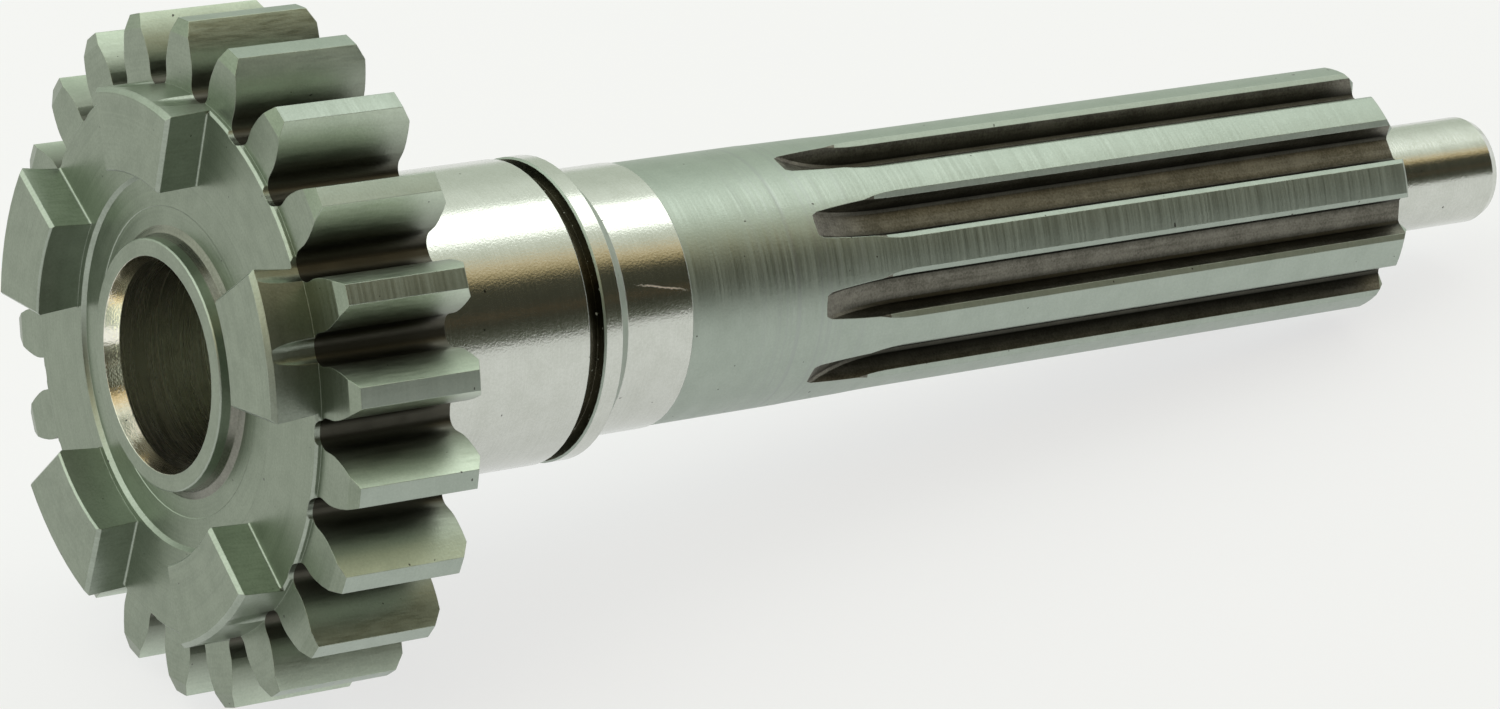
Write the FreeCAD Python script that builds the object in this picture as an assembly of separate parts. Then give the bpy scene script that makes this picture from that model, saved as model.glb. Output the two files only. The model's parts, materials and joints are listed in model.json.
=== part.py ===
import FreeCAD, Part
import math
import os

# Transmission input shaft, machined from one bar: a spur gear with five face dogs at one end, a
# blind pocket in its middle, ground bearing seats, a splined shank and a pilot tip.
# Sizes are in millimetres and angles in degrees. Stations run along the shaft from the hub face,
# which the dogs stand on, and grow towards the pilot tip. Angles go round the shaft from straight
# down, anticlockwise when seen from the dogs.

Vector = FreeCAD.Vector
ORIGIN = Vector(0, 0, 0)
SHAFT_AXIS = Vector(1, 0, 0)
SIDEWAYS = Vector(0, 1, 0)

# Gear
TOOTH_COUNT = 22
GEAR_MODULE = 3.0
PRESSURE_ANGLE = 20.0
ADDENDUM = 3.0
DEDENDUM = 4.35
TOOTH_ROOT_FILLET = 1.4
INVOLUTE_POINTS = 7
GEAR_WIDTH = 15.1
GEAR_SETBACK = 0.65
FRONT_CHAMFER_LENGTH = 0.5
FRONT_CHAMFER_DEPTH = 1.5
REAR_CHAMFER_LENGTH = 0.9
REAR_CHAMFER_DEPTH = 1.4
GEAR_HOB_RADIUS = 35.0

# Hub face, the recess in it and the boss round the pocket
HUB_DIAMETER = 58.0
HUB_EDGE = 0.25
RECESS_DIAMETER = 39.4
RECESS_DEPTH = 0.45
RECESS_WALL_SLOPE = 0.35
RECESS_STEP_DIAMETER = 32.4
RECESS_STEP = 0.06
BOSS_DIAMETER = 26.3
BOSS_HEIGHT = 1.86
BOSS_EDGE = 0.15
BOSS_FILLET = 1.1

# Pocket for the pilot bearing
POCKET_DIAMETER = 21.7
POCKET_DEPTH = 28.0
POCKET_CHAMFER_LENGTH = 1.6
POCKET_CHAMFER_WIDTH = 0.5
DRILL_POINT_ANGLE = 118.0

# Face dogs
DOG_COUNT = 5
DOG_PHASE = 44.7
DOG_WIDTH = 31.0
DOG_FLANK_LEAN = 5.0
DOG_HEIGHT = 4.86
DOG_INNER_DIAMETER = 40.8
DOG_OUTER_EDGE = 0.5
DOG_INNER_EDGE = 0.2
DOG_FLANK_EDGE = 0.4
DOG_BASE_FILLET = 0.25

# Ground seats and the retaining ring groove between them
BEARING_SEAT_DIAMETER = 32.9
BEARING_SEAT_LENGTH = 24.85
SEAT_CORNER_FILLET = 0.8
RING_GROOVE_DIAMETER = 30.1
RING_GROOVE_WIDTH = 1.7
RING_GROOVE_EDGE = 0.2
COLLAR_WIDTH = 2.19
SEAL_SEAT_DIAMETER = 28.9
SEAL_SEAT_LENGTH = 8.36

# Splined shank
SPLINE_COUNT = 10
SPLINE_PHASE = 8.0
SPLINE_DIAMETER = 28.575
SPLINE_ROOT_DIAMETER = 23.4
SPLINE_LAND_WIDTH = 4.46
SPLINE_LAND_EDGE = 0.42
SPLINE_ROOT_FILLET = 0.35
SPLINE_ROOT_FLATS = 1
SPLINE_HOB_RADIUS = 28.0
SHANK_LENGTH = 99.7
FULL_DEPTH_LENGTH = 70.45
SHANK_END_CHAMFER = 1.0
SHANK_STEP_CHAMFER = 0.15

# Pilot tip
PILOT_DIAMETER = 12.5
PILOT_LENGTH = 20.3
PILOT_EDGE = 1.3
PILOT_FILLET = 0.8
CENTRE_HOLE_DIAMETER = 5.0
CENTRE_HOLE_ANGLE = 60.0

# How far a cutter reaches past the metal it cuts, and how far its lift out of the metal is followed
CLEAR = 2.0
RUN_OUT_SWEEP = 50.0

# Roundings: how many flats a turned corner gets, and the share of an edge that each may take
TURNED_FLATS = 2
ROUNDING_SHARE = 0.45

# How near to a plane an edge must lie to be in it, and how near two surfaces are taken as one
SAME_PLACE = 0.01
SAME_SURFACE = 0.001

pitch_diameter = GEAR_MODULE * TOOTH_COUNT
tip_diameter = pitch_diameter + 2 * ADDENDUM
root_diameter = pitch_diameter - 2 * DEDENDUM
gear_front = GEAR_SETBACK
gear_back = gear_front + GEAR_WIDTH
groove_start = gear_back + BEARING_SEAT_LENGTH
collar_start = groove_start + RING_GROOVE_WIDTH
collar_end = collar_start + COLLAR_WIDTH
seal_seat_start = collar_end + (BEARING_SEAT_DIAMETER - SEAL_SEAT_DIAMETER) / 2
shank_start = seal_seat_start + SEAL_SEAT_LENGTH
shank_end = shank_start + SHANK_LENGTH
full_depth_start = shank_end - FULL_DEPTH_LENGTH
pilot_end = shank_end + PILOT_LENGTH


def polar(radius, angle):
    """The point of the cross-section at a radius, at an angle from straight up."""
    return Vector(0, radius * math.sin(math.radians(angle)), radius * math.cos(math.radians(angle)))


def around(shape, angle):
    """A copy of a shape that was made on the upper side, turned to an angle from straight down."""
    turned = shape.copy()
    turned.rotate(ORIGIN, SHAFT_AXIS, 180.0 - angle)
    return turned


def room(edge, radius_at_other_end):
    """How much of an edge a rounding may take: more when the edge's other end isn't rounded."""
    share = ROUNDING_SHARE if radius_at_other_end > 0 else 2 * ROUNDING_SHARE
    return share * edge.Length


def rounded_path(corners, flats=0):
    """Edges through (point, radius) corners, each corner but the two ends rounded by its radius.

    The rounding is an arc, or that many flats along the arc."""
    edges = []
    here = corners[0][0]
    for last, (point, radius), following in zip(corners, corners[1:], corners[2:]):
        if radius > 0:
            back = last[0] - point
            ahead = following[0] - point
            half = back.getAngle(ahead) / 2
            trim = min(radius / math.tan(half), room(back, last[1]), room(ahead, following[1]))
            bisector = (back.normalize() + ahead.normalize()).normalize()
            reach = trim / math.cos(half) - trim * math.tan(half)
            start = point + back * trim
            end = point + ahead * trim
            edges.append(Part.LineSegment(here, start).toShape())
            arc = Part.Arc(start, point + bisector * reach, end).toShape()
            if flats:
                along = [start] + arc.discretize(flats + 1)[1:-1] + [end]
                edges += [Part.LineSegment(a, b).toShape() for a, b in zip(along, along[1:])]
            else:
                edges.append(arc)
            here = end
        else:
            edges.append(Part.LineSegment(here, point).toShape())
            here = point
    edges.append(Part.LineSegment(here, corners[-1][0]).toShape())
    return edges


def turned_solid(profile, sweep=360.0):
    """A solid turned from a closed profile of (station, radius, corner radius)."""
    corners = [(Vector(station, 0, radius), corner) for station, radius, corner in profile]
    corners.append(corners[0])
    face = Part.Face(Part.Wire(rounded_path(corners, TURNED_FLATS)))
    return face.revolve(ORIGIN, SHAFT_AXIS, sweep)


def front_profile():
    """From the pocket's drill point out to the rim of the hub."""
    pocket_floor = POCKET_DEPTH - BOSS_HEIGHT
    pocket = POCKET_DIAMETER / 2
    drill_point = pocket / math.tan(math.radians(DRILL_POINT_ANGLE / 2))
    boss = BOSS_DIAMETER / 2
    recess = RECESS_DIAMETER / 2
    step = RECESS_STEP_DIAMETER / 2
    hub = HUB_DIAMETER / 2
    return [
        (pocket_floor + drill_point, 0, 0),
        (pocket_floor, pocket, 0),
        (POCKET_CHAMFER_LENGTH - BOSS_HEIGHT, pocket, 0),
        (-BOSS_HEIGHT, pocket + POCKET_CHAMFER_WIDTH, 0),
        (-BOSS_HEIGHT, boss - BOSS_EDGE, 0),
        (BOSS_EDGE - BOSS_HEIGHT, boss, 0),
        (RECESS_DEPTH + RECESS_STEP, boss, BOSS_FILLET),
        (RECESS_DEPTH + RECESS_STEP, step, 0),
        (RECESS_DEPTH, step + RECESS_STEP, 0),
        (RECESS_DEPTH, recess - RECESS_WALL_SLOPE, 0),
        (0, recess, 0),
        (0, hub - HUB_EDGE, 0),
        (HUB_EDGE, hub, 0),
    ]


def gear_profile():
    """The gear blank, with the chamfers that end the teeth."""
    tip = tip_diameter / 2
    return [
        (gear_front, HUB_DIAMETER / 2, 0),
        (gear_front, tip - FRONT_CHAMFER_DEPTH, 0),
        (gear_front + FRONT_CHAMFER_LENGTH, tip, 0),
        (gear_back - REAR_CHAMFER_LENGTH, tip, 0),
        (gear_back, tip - REAR_CHAMFER_DEPTH, 0),
    ]


def seat_profile():
    """The bearing seat, the ring groove, the collar, its shoulder and the seal seat."""
    seat = BEARING_SEAT_DIAMETER / 2
    groove = RING_GROOVE_DIAMETER / 2
    seal = SEAL_SEAT_DIAMETER / 2
    return [
        (gear_back, seat, SEAT_CORNER_FILLET),
        (groove_start - RING_GROOVE_EDGE, seat, 0),
        (groove_start, seat - RING_GROOVE_EDGE, 0),
        (groove_start, groove, 0),
        (collar_start, groove, 0),
        (collar_start, seat - RING_GROOVE_EDGE, 0),
        (collar_start + RING_GROOVE_EDGE, seat, 0),
        (collar_end, seat, 0),
        (seal_seat_start, seal, 0),
        (shank_start - SHANK_STEP_CHAMFER, seal, 0),
    ]


def shank_profile():
    """The shank that the splines are cut in, the pilot tip and its centre hole."""
    shank = SPLINE_DIAMETER / 2
    pilot = PILOT_DIAMETER / 2
    hole = CENTRE_HOLE_DIAMETER / 2
    hole_depth = hole / math.tan(math.radians(CENTRE_HOLE_ANGLE / 2))
    return [
        (shank_start, shank, 0),
        (shank_end - SHANK_END_CHAMFER, shank, 0),
        (shank_end, shank - SHANK_END_CHAMFER, 0),
        (shank_end, pilot, PILOT_FILLET),
        (pilot_end, pilot, PILOT_EDGE),
        (pilot_end, hole, 0),
        (pilot_end - hole_depth, 0, 0),
    ]


def dog():
    """One face dog on the upper side, sunk a little into the hub, narrower at its foot than its top."""
    inner = DOG_INNER_DIAMETER / 2
    outer = HUB_DIAMETER / 2
    sector = 2 * DOG_WIDTH
    body = turned_solid([
        (GEAR_SETBACK, inner, 0),
        (DOG_INNER_EDGE - DOG_HEIGHT, inner, 0),
        (-DOG_HEIGHT, inner + DOG_INNER_EDGE, 0),
        (-DOG_HEIGHT, outer - DOG_OUTER_EDGE, 0),
        (DOG_OUTER_EDGE - DOG_HEIGHT, outer, 0),
        (GEAR_SETBACK, outer, 0),
    ], sector)
    body.rotate(ORIGIN, SHAFT_AXIS, -sector / 2)
    beside = Part.makeBox(DOG_HEIGHT + 2 * CLEAR, HUB_DIAMETER, HUB_DIAMETER)
    beside.translate(Vector(-DOG_HEIGHT - CLEAR, 0, 0))
    beside.rotate(Vector(-DOG_HEIGHT, 0, 0), Vector(0, 0, 1), -DOG_FLANK_LEAN)
    beside.rotate(ORIGIN, SHAFT_AXIS, -DOG_WIDTH / 2)
    body = body.cut([beside, beside.mirror(ORIGIN, SIDEWAYS)])
    flank_edges = [
        edge for edge in body.Edges
        if edge.Curve.TypeId == "Part::GeomLine"
        and abs(edge.BoundBox.XMax + DOG_HEIGHT) < SAME_PLACE
    ]
    return body.makeChamfer(DOG_FLANK_EDGE, flank_edges)


def hobbed_groove(section, full_depth_station, length, floor_radius, hob_radius):
    """The room a hob leaves: a straight groove, and the rise where the hob lifts out of the metal."""
    section.translate(Vector(full_depth_station, 0, 0))
    straight = section.extrude(SHAFT_AXIS * length)
    hob_centre = Vector(full_depth_station, 0, floor_radius + hob_radius)
    run_out = section.revolve(hob_centre, SIDEWAYS, RUN_OUT_SWEEP)
    return straight.fuse(run_out)


def mirrored(point):
    """The same point on the other side of the groove's centre line."""
    return Vector(point.x, -point.y, point.z)


def involute_flank(half_gap_at_base):
    """One flank of a tooth gap, from the base circle out past the tip, as points at even rolls."""
    base_radius = pitch_diameter / 2 * math.cos(math.radians(PRESSURE_ANGLE))
    outer_radius = tip_diameter / 2 + CLEAR
    full_roll = math.sqrt((outer_radius / base_radius) ** 2 - 1)
    points = []
    for step in range(INVOLUTE_POINTS):
        roll = full_roll * step / (INVOLUTE_POINTS - 1)
        radius = base_radius * math.sqrt(1 + roll ** 2)
        points.append(polar(radius, half_gap_at_base + math.degrees(roll - math.atan(roll))))
    return points


def tooth_gap_section():
    """The gap between two teeth: involute flanks, radial below the base circle, rounded at the root."""
    pressure = math.radians(PRESSURE_ANGLE)
    half_tooth_at_base = 90.0 / TOOTH_COUNT + math.degrees(math.tan(pressure) - pressure)
    half_gap_at_base = 180.0 / TOOTH_COUNT - half_tooth_at_base
    right = involute_flank(half_gap_at_base)
    left = [mirrored(point) for point in right]
    root_corner = polar(root_diameter / 2, half_gap_at_base)
    root = rounded_path([
        (right[0], 0),
        (root_corner, TOOTH_ROOT_FILLET),
        (mirrored(root_corner), TOOTH_ROOT_FILLET),
        (left[0], 0),
    ])
    flanks = []
    for points in (right, left):
        curve = Part.BSplineCurve()
        curve.interpolate(points)
        flanks.append(curve.toShape())
    mouth = Part.LineSegment(right[-1], left[-1]).toShape()
    return Part.Face(Part.Wire(Part.__sortEdges__(root + flanks + [mouth])))


def spline_groove_section():
    """The groove between two straight-sided lands, with the chamfers that break the lands' edges."""
    half_pitch = 180.0 / SPLINE_COUNT
    half_land = SPLINE_LAND_WIDTH / 2
    along_land = polar(1.0, half_pitch)
    to_groove = polar(1.0, half_pitch - 90.0)

    def on_flank(radius):
        return along_land * math.sqrt(radius ** 2 - half_land ** 2) + to_groove * half_land

    root = on_flank(SPLINE_ROOT_DIAMETER / 2)
    chamfer_start = on_flank(SPLINE_DIAMETER / 2 - SPLINE_LAND_EDGE)
    chamfer_end = chamfer_start + (along_land - to_groove) * (SPLINE_LAND_EDGE + CLEAR)
    path = rounded_path([
        (chamfer_end, 0),
        (chamfer_start, 0),
        (root, SPLINE_ROOT_FILLET),
        (mirrored(root), SPLINE_ROOT_FILLET),
        (mirrored(chamfer_start), 0),
        (mirrored(chamfer_end), 0),
        (chamfer_end, 0),
    ], SPLINE_ROOT_FLATS)
    return Part.Face(Part.Wire(path))


def with_dogs(blank):
    """The blank with its dogs, blended into the hub face along their flanks."""
    pitch = 360.0 / DOG_COUNT
    dogs = [around(dog(), DOG_PHASE + pitch * index) for index in range(DOG_COUNT)]
    joined = blank.fuse(dogs).removeSplitter()
    base_edges = [
        edge for edge in joined.Edges
        if edge.Curve.TypeId == "Part::GeomLine"
        and abs(edge.BoundBox.XMin) < SAME_PLACE
        and abs(edge.BoundBox.XMax) < SAME_PLACE
    ]
    return joined.makeFillet(DOG_BASE_FILLET, base_edges)


def cut_all_round(shaft, cutter, middle, count, phase):
    """The shaft with the same groove cut at every pitch of its circle.

    A cutter whose faces nearly graze others can be left out of a cut that still gives a valid solid.
    So a point in the middle of each groove is looked at, and a groove that is still full of metal is
    cut again by itself, with grazing surfaces taken as one."""
    pitch = 360.0 / count
    angles = [phase + pitch * index for index in range(count)]
    cut = shaft.cut([around(cutter, angle) for angle in angles])
    for angle in angles:
        if cut.isInside(around(Part.Vertex(middle), angle).Point, SAME_PLACE, True):
            cut = cut.cut([around(cutter, angle)], SAME_SURFACE)
    return cut


def drop_to_land(radius, phase, pitch, half_land):
    """How far below the axis the lowest land reaches, when lands lie every pitch from a phase."""
    off_centre = abs((phase + pitch / 2) % pitch - pitch / 2)
    return radius * math.cos(math.radians(max(0.0, off_centre - half_land)))


def resting_tilt():
    """The slope of the axis when the shaft lies on two teeth and on the end of its splines."""
    tooth_pitch = 360.0 / TOOTH_COUNT
    pressure = math.radians(PRESSURE_ANGLE)
    tip_pressure = math.acos(pitch_diameter * math.cos(pressure) / tip_diameter)
    growth = math.tan(tip_pressure) - tip_pressure - math.tan(pressure) + pressure
    half_tip = tooth_pitch / 4 - math.degrees(growth)
    gear_drop = drop_to_land(tip_diameter / 2, tooth_pitch / 2, tooth_pitch, half_tip)
    half_land = math.degrees(math.asin((SPLINE_LAND_WIDTH - 2 * SPLINE_LAND_EDGE) / SPLINE_DIAMETER))
    spline_drop = drop_to_land(SPLINE_DIAMETER / 2, SPLINE_PHASE, 360.0 / SPLINE_COUNT, half_land)
    gear_contact = gear_back - REAR_CHAMFER_LENGTH
    spline_contact = shank_end - SHANK_END_CHAMFER
    return math.degrees(math.atan2(gear_drop - spline_drop, spline_contact - gear_contact))


def laid_down(shaft):
    """The shaft lying on the bench, with the middle of its footprint at the origin."""
    shaft.rotate(ORIGIN, SIDEWAYS, resting_tilt())
    box = shaft.optimalBoundingBox(False, False)
    shaft.translate(Vector(-box.Center.x, -box.Center.y, -box.ZMin))
    return shaft


def input_shaft():
    shaft = turned_solid(front_profile() + gear_profile() + seat_profile() + shank_profile())
    shaft = with_dogs(shaft)
    tooth_gap = hobbed_groove(
        tooth_gap_section(), gear_front, GEAR_WIDTH + CLEAR, root_diameter / 2, GEAR_HOB_RADIUS)
    gap_middle = Vector(gear_front + GEAR_WIDTH / 2, 0, (root_diameter + tip_diameter) / 4)
    shaft = cut_all_round(shaft, tooth_gap, gap_middle, TOOTH_COUNT, 0.0)
    spline_groove = hobbed_groove(
        spline_groove_section(), full_depth_start, FULL_DEPTH_LENGTH + CLEAR,
        SPLINE_ROOT_DIAMETER / 2, SPLINE_HOB_RADIUS)
    groove_middle = Vector(
        full_depth_start + FULL_DEPTH_LENGTH / 2, 0, (SPLINE_ROOT_DIAMETER + SPLINE_DIAMETER) / 4)
    first_groove = SPLINE_PHASE + 180.0 / SPLINE_COUNT
    shaft = cut_all_round(shaft, spline_groove, groove_middle, SPLINE_COUNT, first_groove)
    return laid_down(shaft.Solids[0])


os.makedirs("parts", exist_ok=True)
solid = input_shaft()
print("input_shaft", solid.isValid(), len(solid.Solids), round(solid.Volume), solid.BoundBox)
solid.exportStep("parts/input_shaft.step")
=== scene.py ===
import bpy
import json
import math
from collections import namedtuple
from mathutils import Matrix, Vector

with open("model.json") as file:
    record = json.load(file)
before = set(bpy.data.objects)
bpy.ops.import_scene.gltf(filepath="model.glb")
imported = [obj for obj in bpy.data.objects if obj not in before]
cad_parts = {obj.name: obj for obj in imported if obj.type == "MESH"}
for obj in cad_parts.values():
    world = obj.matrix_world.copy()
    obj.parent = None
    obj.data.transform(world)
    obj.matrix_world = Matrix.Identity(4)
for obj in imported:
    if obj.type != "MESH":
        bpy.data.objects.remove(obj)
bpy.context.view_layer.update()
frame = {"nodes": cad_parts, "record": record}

# The shaft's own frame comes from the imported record: station 0 is the hub face, stations grow towards
# the pilot tip along the axis, and the cross-section's Y is the bench's Y. Stations and radii are in
# millimetres, angles are in radians from the shaft's top, and everything else is in metres.
MM = 0.001
mounts = {mount["name"]: mount for mount in frame["record"]["mounts"]}
hub_centre = Vector(mounts["dog_clutch"]["pos_m"])
along = -Vector(mounts["pocket_bore"]["axis"]).normalized()
across = Vector((0.0, 1.0, 0.0))
above = along.cross(across).normalized()
shaft_turn = Matrix((along, across, above)).transposed()


def radius_of(name):
    return mounts[name]["dims"]["r_mm"]


def station_of(name, share):
    """The station of a place along a round mount's wall, from its low end at 0 to its high end at 1."""
    mount = mounts[name]
    middle = (Vector(mount["pos_m"]) - hub_centre).dot(along) / MM
    return middle + (share - 0.5) * mount["dims"]["length_mm"]


def in_bench_frame(shaft_point):
    """A point given by station, Y and Z in the shaft's frame, in millimetres."""
    return hub_centre + shaft_turn @ (Vector(shaft_point) * MM)


# The camera stands and looks as it was fitted to the photo, given in the shaft's frame
CAMERA_PLACE = (-292.436, -493.265, 243.787)
CAMERA_AIM = (70.260, -3.864, -7.525)
CAMERA_UP = (0.131366, 0.374072, 0.918049)
LENS = 145.05
SENSOR = 36.0
NEAREST = 0.01
FARTHEST = 50.0


def add_camera():
    data = bpy.data.cameras.new("camera")
    data.lens = LENS
    data.sensor_width = SENSOR
    data.clip_start = NEAREST
    data.clip_end = FARTHEST
    camera = bpy.data.objects.new("camera", data)
    place = in_bench_frame(CAMERA_PLACE)
    back = (place - in_bench_frame(CAMERA_AIM)).normalized()
    right = (shaft_turn @ Vector(CAMERA_UP)).cross(back).normalized()
    up = back.cross(right)
    turn = Matrix((right, up, back)).transposed().to_4x4()
    camera.matrix_world = Matrix.Translation(place) @ turn
    bpy.context.scene.collection.objects.link(camera)
    bpy.context.scene.camera = camera


NOISE_ROUGHNESS = 0.55

# A shaded point in the shaft's frame, as sockets: the point itself, and its three polar coordinates
Place = namedtuple("Place", "point station radius angle")


class Nodes:
    """Short calls for building one material's or world's node tree."""

    def __init__(self, owner):
        owner.use_nodes = True
        self.tree = owner.node_tree
        self.tree.nodes.clear()
        of_world = isinstance(owner, bpy.types.World)
        self.output = "ShaderNodeOutputWorld" if of_world else "ShaderNodeOutputMaterial"

    def add(self, kind, **settings):
        node = self.tree.nodes.new(kind)
        for name, value in settings.items():
            setattr(node, name, value)
        return node

    def feed(self, socket, value):
        """Links an output to a socket, or sets the socket to a plain value."""
        if isinstance(value, bpy.types.NodeSocket):
            self.tree.links.new(value, socket)
        else:
            socket.default_value = value

    def fed(self, kind, *values, **settings):
        """A new node with its first inputs fed in their order."""
        node = self.add(kind, **settings)
        for socket, value in zip(node.inputs, values):
            self.feed(socket, value)
        return node

    def math(self, operation, a, b=0.0):
        return self.fed("ShaderNodeMath", a, b, operation=operation).outputs[0]

    def multiply(self, a, b):
        return self.math("MULTIPLY", a, b)

    def distance(self, a, b):
        """How far two values are apart."""
        return self.math("ABSOLUTE", self.math("SUBTRACT", a, b))

    def spread(self, value, low, high, to_low=0.0, to_high=1.0):
        """A value's place between low and high, spread over another range and held to its ends."""
        node = self.add("ShaderNodeMapRange")
        self.feed(node.inputs["Value"], value)
        limits = {"From Min": low, "From Max": high, "To Min": to_low, "To Max": to_high}
        for name, number in limits.items():
            self.feed(node.inputs[name], number)
        return node.outputs["Result"]

    def mix(self, factor, a, b):
        """A colour between two colours. The node's colour sockets come after its number sockets."""
        node = self.add("ShaderNodeMix", data_type="RGBA")
        self.feed(node.inputs["Factor"], factor)
        self.feed(node.inputs[6], a)
        self.feed(node.inputs[7], b)
        return node.outputs[2]

    def mix_shaders(self, factor, a, b):
        return self.fed("ShaderNodeMixShader", factor, a, b).outputs[0]

    def ramp(self, value, stops):
        """A colour that changes evenly between (value, colour) stops."""
        low, high = stops[0][0], stops[-1][0]
        node = self.add("ShaderNodeValToRGB")
        self.feed(node.inputs["Fac"], self.spread(value, low, high))
        elements = node.color_ramp.elements
        while len(elements) < len(stops):
            elements.new(0.5)
        for element, (place, colour) in zip(elements, stops):
            element.position = (place - low) / (high - low)
            element.color = (*colour, 1.0)
        return node.outputs["Color"]

    def bench_coordinates(self):
        return self.add("ShaderNodeTexCoord").outputs["Object"]

    def split(self, vector):
        return self.fed("ShaderNodeSeparateXYZ", vector).outputs

    def shaft_place(self):
        """The shaded point in the shaft's frame, in millimetres and radians."""
        mapping = self.add("ShaderNodeMapping", vector_type="TEXTURE")
        self.feed(mapping.inputs["Vector"], self.bench_coordinates())
        self.feed(mapping.inputs["Location"], hub_centre)
        self.feed(mapping.inputs["Rotation"], shaft_turn.to_euler())
        self.feed(mapping.inputs["Scale"], (MM, MM, MM))
        point = mapping.outputs["Vector"]
        station, y, z = self.split(point)
        radius = self.math("SQRT", self.math("ADD", self.multiply(y, y), self.multiply(z, z)))
        return Place(point, station, radius, self.math("ARCTAN2", y, z))

    def vector(self, x, y, z=0.0):
        return self.fed("ShaderNodeCombineXYZ", x, y, z).outputs[0]

    def noise(self, place, scale, detail):
        node = self.add("ShaderNodeTexNoise")
        self.feed(node.inputs["Vector"], place)
        self.feed(node.inputs["Scale"], scale)
        self.feed(node.inputs["Detail"], detail)
        self.feed(node.inputs["Roughness"], NOISE_ROUGHNESS)
        return node.outputs["Fac"]

    def show(self, shader):
        """Makes a shader what the material or the world shows."""
        self.feed(self.add(self.output).inputs["Surface"], shader)


# Each mark lays itself over a steel's colour. It gives back the new colour, and how much of the metal's
# mirror it dulls, or None where it dulls nothing.

# Painted shade in a tooth gap, partly the unground root's own darker tone: a tooth gap is darkest at the
# first radius and clear at the second
ROOT_SHADE_COLOUR = (0.085, 0.082, 0.066, 1.0)
HOB_CLEARS = (29.0, 36.0)


def tooth_root_shade(nodes, colour, at):
    """Darker towards the root of a tooth gap, as painted shade and partly the root's own darker tone."""
    return nodes.mix(nodes.spread(at.radius, *HOB_CLEARS), ROOT_SHADE_COLOUR, colour), None


# Painted shade in the corners of the spline grooves, where shade falls in them
# One spline groove has its middle this far before the shaft's top. A groove's root is darkest at the
# first share of a pitch from its middle and clear at the second, and its walls clear between two radii.
CORNER_SHADE_COLOUR = (0.03, 0.03, 0.024, 1.0)
SPLINE_PITCH = math.radians(36.0)
SPLINE_PHASE = math.radians(9.8)
ROOT_CLEARS = (0.21, 0.08)
WALL_CLEARS = (11.9, 13.2)


def spline_corner_shade(nodes, colour, at):
    """Darker in the two corners of a spline groove, as painted shade."""
    pitches = nodes.math("DIVIDE", nodes.math("ADD", at.angle, SPLINE_PHASE), SPLINE_PITCH)
    on_root = nodes.spread(nodes.math("PINGPONG", pitches, 0.5), *ROOT_CLEARS)
    on_wall = nodes.spread(at.radius, *WALL_CLEARS)
    return nodes.mix(nodes.math("MAXIMUM", on_root, on_wall), CORNER_SHADE_COLOUR, colour), None


# The rings are noise along the shaft that shows between two of its levels, and they fade out between
# two distances from their middle station
RING_COLOUR = (0.38, 0.42, 0.39, 1.0)
RINGS_MIDDLE = 71.0
RINGS_FADE = (3.0, 8.0)
RINGS_PER_MM = 0.9
RING_LEVELS = (0.5, 0.62)


def faint_rings(nodes, colour, at):
    """Faint darker rings where the shank runs into the splines."""
    band = nodes.noise(nodes.vector(nodes.multiply(at.station, RINGS_PER_MM), 0.0), 1.0, 2.0)
    near = nodes.spread(nodes.distance(at.station, RINGS_MIDDLE), *RINGS_FADE, 1.0, 0.0)
    return nodes.mix(nodes.multiply(nodes.spread(band, *RING_LEVELS), near), colour, RING_COLOUR), None


# Painted glints on the ring groove: small pale spots that are not metal
GLINT_COLOUR = (0.45, 0.47, 0.44, 1.0)
GLINT_SCALE = 1.8
GLINT_LEVELS = (0.72, 0.77)


def painted_glints(nodes, colour, at):
    """Painted glints: small pale spots that stand in for the sparkle of rough steel and dull the metal's
    mirror.
    """
    glint = nodes.spread(nodes.noise(at.point, GLINT_SCALE, 1.0), *GLINT_LEVELS)
    return nodes.mix(glint, colour, GLINT_COLOUR), glint


# The scratch runs from the first station and angle to the second. Its width and wobble are angles, and
# it tapers over the last millimetres at both ends.
SCRATCH_COLOUR = (0.80, 0.66, 0.62, 1.0)
SCRATCH_STATIONS = (47.6, 54.6)
SCRATCH_ANGLES = (-1.047, -1.147)
SCRATCH_WIDTH = 0.010
SCRATCH_TAPER = 2.0
SCRATCH_WOBBLE = 0.03
WOBBLE_SCALE = 1.6


def scratch(nodes, colour, at):
    """The one pale scratch on the seal seat."""
    first, last = SCRATCH_STATIONS
    half_length = (last - first) / 2
    middle = nodes.spread(at.station, first, last, *SCRATCH_ANGLES)
    waver = nodes.math("SUBTRACT", nodes.noise(at.point, WOBBLE_SCALE, 3.0), 0.5)
    wavering = nodes.math("ADD", at.angle, nodes.multiply(waver, SCRATCH_WOBBLE))
    across_it = nodes.spread(nodes.distance(wavering, middle), 0.0, SCRATCH_WIDTH, 1.0, 0.0)
    off_centre = nodes.distance(at.station, (first + last) / 2)
    along_it = nodes.spread(off_centre, half_length - SCRATCH_TAPER, half_length, 1.0, 0.0)
    cut = nodes.multiply(across_it, along_it)
    return nodes.mix(cut, colour, SCRATCH_COLOUR), cut


# The tool's marks are noise that is stretched along them: what its coordinates follow, and the steps of
# noise on one millimetre or radian of each. Ground and turned steel has rings along the shaft, faced
# steel has rings about the axis, hobbed steel has marks along the teeth, and drawn steel has streaks
# along the grooves.
TOOL_MARKS = {
    "ground": (("station", 9.0), ("angle", 0.6)),
    "turned": (("station", 3.0), ("angle", 0.6)),
    "faced": (("radius", 3.5), ("angle", 0.6)),
    "hobbed": (("station", 0.35), ("radius", 3.0), ("angle", 1.0)),
    "drawn": (("station", 0.08), ("radius", 1.5), ("angle", 22.0)),
}
BLOTCH_SCALE = 0.35
GRAIN_SCALE = 4.0
MOTTLE_LEVELS = (1.2, 1.8)
PIT_COLOUR = (0.10, 0.10, 0.09, 1.0)
PIT_SCALE = 1.6
PIT_LEVELS = (0.86, 0.88)
SHINE_LEVELS = (0.3, 0.7)
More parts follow.
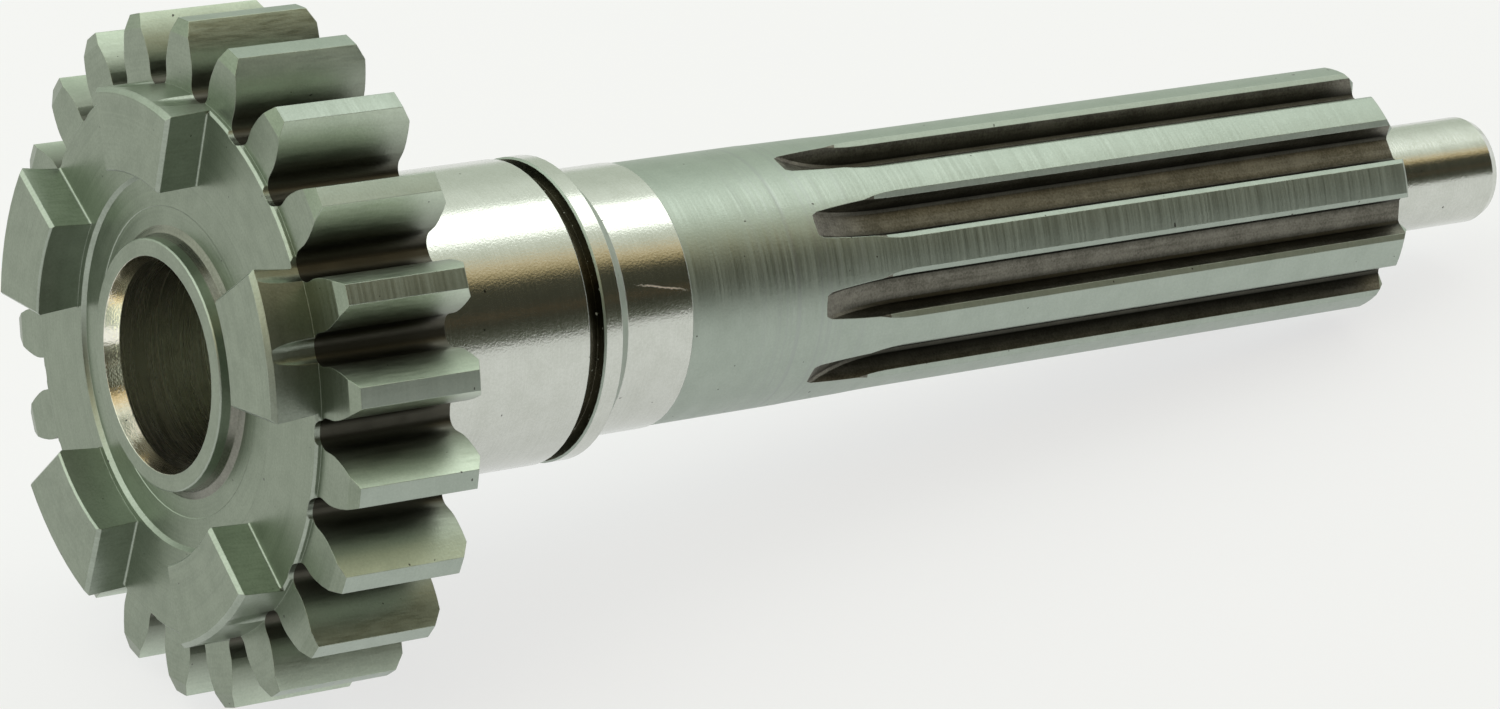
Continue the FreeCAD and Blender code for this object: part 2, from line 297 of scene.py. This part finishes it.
SHINE_SWING = 0.15
GRAIN_BUMP = 0.012
EDGE_RADIUS = 0.00012
EDGE_SAMPLES = 4


def tool_marks(nodes, cuts, at):
    stretched = [nodes.multiply(getattr(at, of), steps) for of, steps in TOOL_MARKS[cuts]]
    return nodes.noise(nodes.vector(*stretched), 1.0, 2.0)


def mottled(nodes, dark, light, at, marks, grain):
    """A colour that wanders between two with large blotches, fine grain and the tool's marks."""
    blotches = nodes.noise(at.point, BLOTCH_SCALE, 4.0)
    shade = nodes.math("ADD", nodes.math("ADD", blotches, grain), marks)
    return nodes.mix(nodes.spread(shade, *MOTTLE_LEVELS), (*dark, 1.0), (*light, 1.0))


def pitted(nodes, colour, at):
    """A colour with a few small dark pits."""
    pit = nodes.spread(nodes.noise(at.point, PIT_SCALE, 0.0), *PIT_LEVELS)
    return nodes.mix(pit, colour, PIT_COLOUR)


def cut_surface(nodes, marks, grain, cut_depth):
    """The surface's direction, with the tool's marks in it and its edges just broken."""
    edges = nodes.add("ShaderNodeBevel", samples=EDGE_SAMPLES)
    nodes.feed(edges.inputs["Radius"], EDGE_RADIUS)
    bump = nodes.add("ShaderNodeBump")
    height = nodes.math("ADD", nodes.multiply(marks, cut_depth), nodes.multiply(grain, GRAIN_BUMP))
    nodes.feed(bump.inputs["Height"], height)
    nodes.feed(bump.inputs["Distance"], MM)
    nodes.feed(bump.inputs["Normal"], edges.outputs[0])
    return bump.outputs[0]


def steel(name, dark, light, roughness, cuts, cut_depth, mark=None):
    """Bare steel, mottled between two colours. cuts is the way it was cut, one of TOOL_MARKS, cut_depth
    is how deep those marks go, and mark is a call that lays one more mark over the colour."""
    material = bpy.data.materials.new(name)
    nodes = Nodes(material)
    at = nodes.shaft_place()
    marks = tool_marks(nodes, cuts, at)
    grain = nodes.noise(at.point, GRAIN_SCALE, 2.0)
    colour = mottled(nodes, dark, light, at, marks, grain)
    metallic = 1.0
    if mark:
        colour, dulled = mark(nodes, colour, at)
        if dulled is not None:
            metallic = nodes.math("SUBTRACT", 1.0, dulled)
    shine = (roughness * (1 - SHINE_SWING), roughness * (1 + SHINE_SWING))
    shader = nodes.add("ShaderNodeBsdfPrincipled")
    nodes.feed(shader.inputs["Metallic"], metallic)
    nodes.feed(shader.inputs["Base Color"], pitted(nodes, colour, at))
    nodes.feed(shader.inputs["Roughness"], nodes.spread(marks, *SHINE_LEVELS, *shine))
    nodes.feed(shader.inputs["Normal"], cut_surface(nodes, marks, grain, cut_depth))
    nodes.show(shader.outputs[0])
    return material


# The finishes of the shaft, by the zone that has them. The blend, lead-in, spline and ring-groove colours
# also hold painted shade or a painted highlight, as noted at each.
FINISHES = {
    "faced": dict(
        dark=(0.211, 0.245, 0.189), light=(0.267, 0.305, 0.24), roughness=0.34,
        cuts="faced", cut_depth=0.008),
    # The hobbed teeth carry painted shade towards the roots of their gaps
    "hobbed": dict(
        dark=(0.50, 0.575, 0.473), light=(0.598, 0.678, 0.564), roughness=0.42,
        cuts="hobbed", cut_depth=0.006, mark=tooth_root_shade),
    "milled": dict(
        dark=(0.295, 0.335, 0.28), light=(0.375, 0.42, 0.36), roughness=0.34,
        cuts="hobbed", cut_depth=0.002),
    # Painted shade: the blend round the foot of the boss is dark for the shade in the recess there
    "shaded_blend": dict(
        dark=(0.17, 0.17, 0.145), light=(0.25, 0.25, 0.215), roughness=0.30,
        cuts="faced", cut_depth=0.006),
    "turned": dict(
        dark=(0.375, 0.43, 0.376), light=(0.432, 0.49, 0.433), roughness=0.43,
        cuts="turned", cut_depth=0.006, mark=faint_rings),
    "ground": dict(
        dark=(0.56, 0.58, 0.53), light=(0.635, 0.655, 0.61), roughness=0.16,
        cuts="ground", cut_depth=0.006, mark=scratch),
    "bored": dict(
        dark=(0.50, 0.485, 0.42), light=(0.66, 0.645, 0.57), roughness=0.26,
        cuts="turned", cut_depth=0.035),
    # Painted highlight: the pocket's polished lead-in is paler than bare steel, so that it shows bright
    "lead_in_highlight": dict(
        dark=(0.90, 0.87, 0.76), light=(0.97, 0.95, 0.86), roughness=0.12,
        cuts="turned", cut_depth=0.004),
    # Painted shade: the spline grooves' walls and roots are dark for the shade inside them, and darker still
    # in their corners
    "shaded_splines": dict(
        dark=(0.11, 0.105, 0.085), light=(0.24, 0.232, 0.195), roughness=0.42,
        cuts="drawn", cut_depth=0.010, mark=spline_corner_shade),
    # Painted shade: the ring groove is kept nearly black for the shade inside it, and carries painted glints
    "shaded_groove": dict(
        dark=(0.07, 0.066, 0.048), light=(0.15, 0.142, 0.105), roughness=0.26,
        cuts="turned", cut_depth=0.012, mark=painted_glints),
}

# Where the finishes meet, in millimetres: places that no mount gives, and how far zones reach past one
SHANK_RADIUS = 14.2875
TOOTH_ROOTS = 33.0
HOB_START = 0.75
BOSS_BLEND = (13.2, 14.4)
BOSS_BLEND_END = 2.0
MARGIN = 0.2
POCKET_CHAMFER = 0.8
DRILL_POINT = 8.0
GROOVE_REACH = 2.2
GROOVE_EDGE = 0.5
COLLAR_HEIGHT = 2.0
LAND_EDGE = 0.6
PILOT_BLEND = 1.5

# How much a face looks along the axis, or away from it, from 0 to 1
END_FACE = 0.8
BOSS_FACE = 0.98
CHAMFER = 0.2
RUN_OUT = 0.1
SEAT_WALL = 0.9
ROUND_WALL = 0.95

pocket_end = station_of("pocket_bore", 1.0)
seat_start, seat_end = station_of("bearing_seat", 0.0), station_of("bearing_seat", 1.0)
seal_start, seal_end = station_of("seal_seat", 0.0), station_of("seal_seat", 1.0)
pilot_start = station_of("pilot_tip", 0.0)
seat_radius = radius_of("bearing_seat")


def in_pocket(station, radius, facing):
    near_axis = radius < radius_of("pocket_bore") + POCKET_CHAMFER
    return near_axis and station < pocket_end + DRILL_POINT and facing > -END_FACE


def in_boss_blend(station, radius, facing):
    return BOSS_BLEND[0] < radius < BOSS_BLEND[1] and station < BOSS_BLEND_END and facing > -BOSS_FACE


def in_ring_groove(station, inner_radius):
    return seat_end + MARGIN < station < seat_end + GROOVE_REACH and inner_radius < seat_radius - GROOVE_EDGE


def on_ground_wall(station, radius, outward):
    """On the bearing seat, the seal seat or anywhere on the pilot tip."""
    if outward > SEAT_WALL and abs(radius - seat_radius) < MARGIN and station > seat_start - MARGIN:
        return True
    if outward > SEAT_WALL and abs(radius - radius_of("seal_seat")) < MARGIN:
        if seal_start - MARGIN < station < seal_end + MARGIN:
            return True
    return station > pilot_start and radius < radius_of("pilot_tip") + MARGIN


def zone_of(station, radius, inner_radius, outward, facing):
    """The finish of a face, from its middle's station and radius, the radius of its innermost corner,
    how much it faces away from the axis, and how much it faces towards the pilot tip."""
    on_shank = seal_end + MARGIN < station < pilot_start - PILOT_BLEND
    in_tooth_gap = station < seat_start and radius < TOOTH_ROOTS
    on_collar = station > HOB_START and radius < seat_radius + COLLAR_HEIGHT
    if in_pocket(station, radius, facing):
        return "lead_in_highlight" if station < 0.0 and facing < -CHAMFER else "bored"
    if in_boss_blend(station, radius, facing):
        return "shaded_blend"
    if in_ring_groove(station, inner_radius):
        return "shaded_groove"
    if on_ground_wall(station, radius, outward):
        return "ground"
    if abs(facing) > END_FACE:
        return "faced"
    if on_shank and (inner_radius < SHANK_RADIUS - LAND_EDGE or facing > RUN_OUT):
        return "shaded_splines"
    if outward > ROUND_WALL and not in_tooth_gap or on_shank or on_collar:
        return "turned"
    return "milled" if station < HOB_START else "hobbed"


def finish_shaft():
    """Gives every face of the shaft the finish of its zone."""
    shaft = frame["nodes"]["input_shaft"]
    zones = list(FINISHES)
    shaft.data.materials.clear()
    for zone, look in FINISHES.items():
        shaft.data.materials.append(steel(zone + "_steel", **look))
    to_shaft = shaft_turn.transposed()
    corners = [to_shaft @ (vertex.co - hub_centre) / MM for vertex in shaft.data.vertices]
    for face in shaft.data.polygons:
        middle = to_shaft @ (face.center - hub_centre) / MM
        normal = to_shaft @ face.normal
        radial = Vector((0.0, middle.y, middle.z))
        outward = normal.dot(radial.normalized()) if radial.length > 0 else 0.0
        inner_radius = min(math.hypot(corners[index].y, corners[index].z) for index in face.vertices)
        zone = zone_of(middle.x, radial.length, inner_radius, outward, normal.x)
        face.material_index = zones.index(zone)


WHITE = (1.0, 1.0, 1.0, 1.0)
FLOOR_SIZE = 12.0
FLOOR_WHITE = (0.80, 0.80, 0.80, 1.0)
FLOOR_SPECKLE = (0.79, 0.79, 0.79, 1.0)
SPECKLE_SCALE = 900.0
FLOOR_GLOW = 0.70
WORLD_TINT = (0.95, 0.98, 1.0, 1.0)
WORLD_STRENGTH = 0.6


def seen_directly(nodes):
    """1 on the rays that show a surface as it is: from the camera, mirrored in metal, or through glass."""
    path = nodes.add("ShaderNodeLightPath").outputs
    shown = nodes.math("MAXIMUM", path["Is Camera Ray"], path["Is Glossy Ray"])
    return nodes.math("MAXIMUM", shown, path["Is Transmission Ray"])


def add_floor():
    """A plain pale floor that looks the same from the camera and mirrored in the steel. The part of it
    that doesn't glow keeps the shaft's own shadow."""
    bpy.ops.mesh.primitive_plane_add(size=FLOOR_SIZE)
    floor = bpy.context.object
    floor.name = "floor"
    material = bpy.data.materials.new("floor_white")
    nodes = Nodes(material)
    speckle = nodes.noise(nodes.bench_coordinates(), SPECKLE_SCALE, 2.0)
    paper = nodes.fed("ShaderNodeBsdfDiffuse", nodes.mix(speckle, FLOOR_SPECKLE, FLOOR_WHITE))
    glow = nodes.fed("ShaderNodeEmission", WHITE)
    share = nodes.multiply(seen_directly(nodes), FLOOR_GLOW)
    nodes.show(nodes.mix_shaders(share, paper.outputs[0], glow.outputs[0]))
    floor.data.materials.append(material)


def add_world():
    """A dim even light all round, which shows as plain white where it is seen or mirrored."""
    world = bpy.data.worlds.new("studio")
    bpy.context.scene.world = world
    nodes = Nodes(world)
    ambient = nodes.fed("ShaderNodeBackground", WORLD_TINT, WORLD_STRENGTH)
    white = nodes.fed("ShaderNodeBackground", WHITE, 1.0)
    nodes.show(nodes.mix_shaders(seen_directly(nodes), ambient.outputs[0], white.outputs[0]))


TENT_RADIUS = 1.1
TENT_HALF_LENGTH = 2.4
TENT_AXIS_HEIGHT = 0.03
TENT_FACETS = 48

# Shades of the tent's inside, by degrees from straight overhead towards the camera's side: pale at the
# back, brightest overhead, then tan, and in front a dark cloth with one thin tan line across it
TENT_SHADES = (
    (-95, (0.60, 0.66, 0.56)),
    (-60, (0.68, 0.74, 0.64)),
    (-42, (0.88, 0.94, 0.84)),
    (-20, (1.02, 1.08, 0.98)),
    (12, (0.90, 0.95, 0.84)),
    (22, (0.76, 0.78, 0.66)),
    (33, (0.80, 0.66, 0.42)),
    (39, (0.56, 0.44, 0.23)),
    (46, (0.06, 0.06, 0.04)),
    (69, (0.05, 0.05, 0.035)),
    (70, (0.22, 0.13, 0.06)),
    (71, (0.05, 0.05, 0.035)),
    (78, (0.05, 0.05, 0.035)),
    (92, (0.15, 0.16, 0.12)),
)

# How strongly the tent glows, along its length in metres: most at the end beyond the dogs
TENT_STRENGTHS = (
    (-1.2, (1.75, 1.75, 1.75)),
    (-0.4, (1.35, 1.35, 1.35)),
    (0.05, (0.80, 0.80, 0.80)),
    (0.60, (0.98, 0.98, 0.98)),
    (1.60, (0.98, 0.98, 0.98)),
)


def tent_mesh():
    """Half a tube along the bench, open at both ends, in flat strips."""
    first, last = TENT_SHADES[0][0], TENT_SHADES[-1][0]
    corners = []
    for step in range(TENT_FACETS + 1):
        lean = math.radians(first + (last - first) * step / TENT_FACETS)
        y = -TENT_RADIUS * math.sin(lean)
        z = TENT_AXIS_HEIGHT + TENT_RADIUS * math.cos(lean)
        corners += [(-TENT_HALF_LENGTH, y, z), (TENT_HALF_LENGTH, y, z)]
    strips = [(2 * step, 2 * step + 1, 2 * step + 3, 2 * step + 2) for step in range(TENT_FACETS)]
    mesh = bpy.data.meshes.new("studio_tent")
    mesh.from_pydata(corners, [], strips)
    return mesh


def tent_cloth():
    """Cloth that glows in the tent's shades, by how far it leans from overhead."""
    material = bpy.data.materials.new("tent_cloth")
    nodes = Nodes(material)
    x, y, z = nodes.split(nodes.bench_coordinates())
    upward = nodes.math("SUBTRACT", z, TENT_AXIS_HEIGHT)
    lean = nodes.math("DEGREES", nodes.math("ARCTAN2", nodes.multiply(y, -1.0), upward))
    glow = nodes.fed("ShaderNodeEmission", nodes.ramp(lean, TENT_SHADES), nodes.ramp(x, TENT_STRENGTHS))
    nodes.show(glow.outputs[0])
    return material


def add_tent():
    """A long half-round studio tent over the bench, which the steel mirrors as bands along the shaft.
    The camera looks through it."""
    mesh = tent_mesh()
    mesh.materials.append(tent_cloth())
    tent = bpy.data.objects.new("studio_tent", mesh)
    tent.visible_camera = False
    bpy.context.scene.collection.objects.link(tent)


KEY_PLACE = (0.56, 0.09, 0.72)
KEY_AIM = (0.0, 0.0, 0.03)
KEY_WIDTH = 0.40
KEY_DEPTH = 0.30
KEY_RADIANCE = 1.3


def add_key_softbox():
    """The one lamp, a soft rectangle that faces the shaft."""
    data = bpy.data.lights.new("key_softbox", "AREA")
    data.shape = "RECTANGLE"
    data.size = KEY_WIDTH
    data.size_y = KEY_DEPTH
    data.energy = KEY_RADIANCE * math.pi * KEY_WIDTH * KEY_DEPTH
    lamp = bpy.data.objects.new("key_softbox", data)
    back = (Vector(KEY_PLACE) - Vector(KEY_AIM)).normalized()
    turn = back.to_track_quat("Z", "Y").to_matrix().to_4x4()
    lamp.matrix_world = Matrix.Translation(KEY_PLACE) @ turn
    bpy.context.scene.collection.objects.link(lamp)


add_camera()
finish_shaft()
add_floor()
add_world()
add_tent()
add_key_softbox()
bpy.context.scene.view_settings.view_transform = "Standard"
